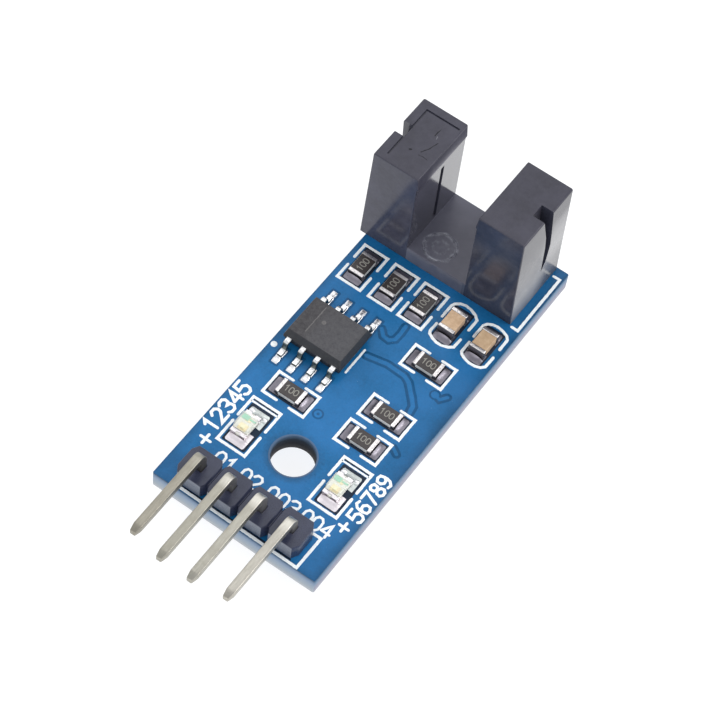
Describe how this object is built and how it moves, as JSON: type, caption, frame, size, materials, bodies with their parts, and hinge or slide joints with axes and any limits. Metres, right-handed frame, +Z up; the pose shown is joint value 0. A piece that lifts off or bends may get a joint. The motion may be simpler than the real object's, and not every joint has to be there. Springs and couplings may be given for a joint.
{
  "type": "infrared speed sensor",
  "caption": "Slotted infrared switch with a comparator on a blue board, with a mounting hole, two indicator LEDs and a bent pin header.",
  "frame": {"origin": "centre of the mounting hole on the board's underside", "axes": "+X to the right, +Y from the pin header towards the slotted switch, +Z up out of the component side along the mounting hole"},
  "size_m": [0.0141, 0.0375, 0.0126],
  "materials": {
    "board": "gloss solder mask on glass laminate",
    "black_plastic": "gloss moulded",
    "header_plastic": "satin moulded",
    "ic_plastic": "fine matt moulding compound",
    "pin_metal": "tinned brass, bright",
    "tin": "bright tin",
    "solder": "bright solder",
    "resistor_glaze": "black glaze",
    "capacitor_ceramic": "matt tan ceramic",
    "led_base": "white laminate",
    "led_lens": "clear resin",
    "emitter_resin": "clear blue-tinted resin",
    "detector_resin": "dark infrared-pass resin"
  },
  "bodies": {
    "root": {"pcb": "board", "slot_housing": "black_plastic", "ir_emitter": "emitter_resin", "emitter_leads": "tin", "photo_detector": "detector_resin", "detector_leads": "tin", "comparator_body": "ic_plastic", "comparator_leads": "tin", "resistor_1": "resistor_glaze", "resistor_2": "resistor_glaze", "resistor_3": "resistor_glaze", "resistor_4": "resistor_glaze", "resistor_5": "resistor_glaze", "resistor_6": "resistor_glaze", "resistor_7": "resistor_glaze", "resistor_caps": "tin", "capacitor_1": "capacitor_ceramic", "capacitor_2": "capacitor_ceramic", "capacitor_caps": "tin", "led_1_base": "led_base", "led_1_lens": "led_lens", "led_2_base": "led_base", "led_2_lens": "led_lens", "led_caps": "tin", "header_body": "header_plastic", "header_pin_1": "pin_metal", "header_pin_2": "pin_metal", "header_pin_3": "pin_metal", "header_pin_4": "pin_metal", "header_solder": "solder", "sensor_solder": "solder", "smd_solder": "solder"}
  },
  "joints": []
}
